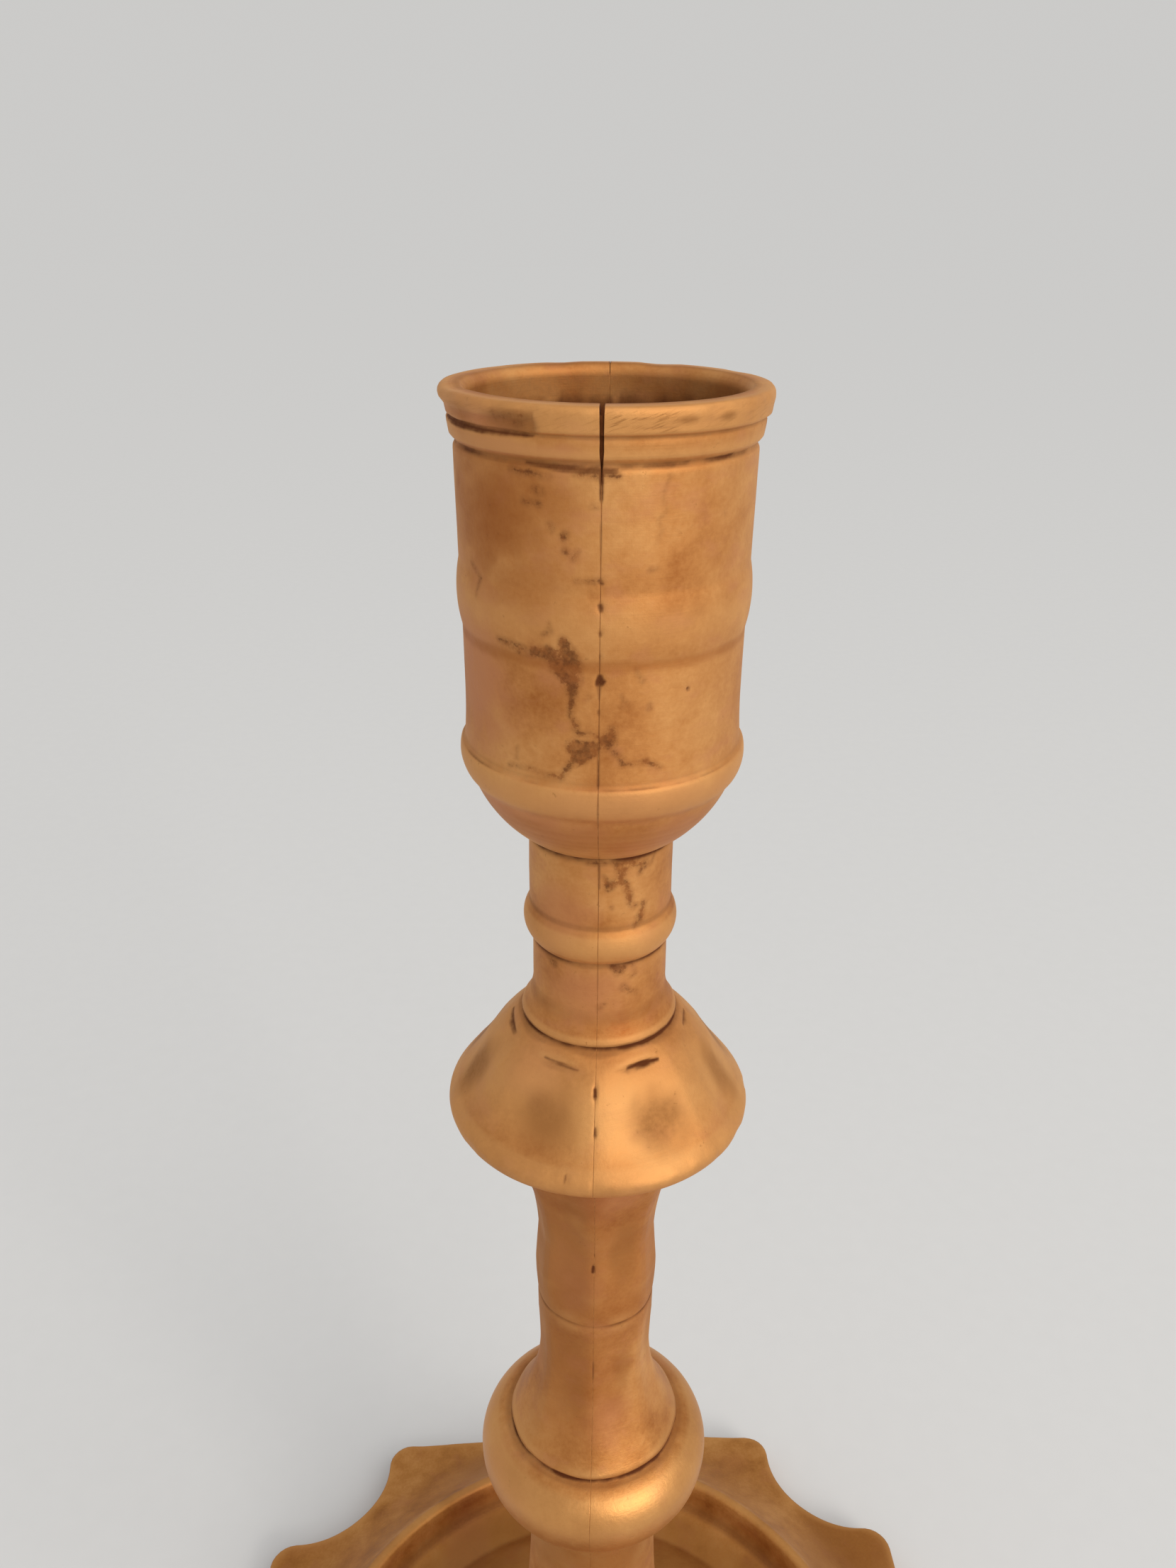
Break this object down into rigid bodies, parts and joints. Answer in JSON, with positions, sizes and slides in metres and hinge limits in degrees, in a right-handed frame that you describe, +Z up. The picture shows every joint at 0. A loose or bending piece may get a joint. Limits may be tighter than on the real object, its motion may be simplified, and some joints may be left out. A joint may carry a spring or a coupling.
{
  "type": "candlestick",
  "caption": "Turned candlestick with a hollow seamed stem, facetted baluster, ball knop and square base with scooped corners and a drip well.",
  "frame": {"origin": "on the table, under the stem's axis at the middle of the base", "axes": "+Z up along the stem, +X to the right and +Y away from the front seam, square with the base's sides"},
  "size_m": [0.1, 0.1, 0.19],
  "materials": {
    "stem_left_half": "worn satin, lightly tarnished",
    "stem_right_half": "worn satin, lightly tarnished",
    "seam_braze": "dark, pitted brazing metal",
    "socket_floor": "dull, waxy and dark",
    "foot_tenon": "hammered, tarnished",
    "tenon_washer": "rough, tarnished",
    "base": "satin, scraped by hand beneath"
  },
  "bodies": {
    "root": {"stem_left_half": "stem_left_half", "stem_right_half": "stem_right_half", "seam_braze_front": "seam_braze", "seam_braze_back": "seam_braze", "socket_floor": "socket_floor", "foot_tenon": "foot_tenon", "tenon_washer": "tenon_washer", "base": "base"}
  },
  "joints": []
}
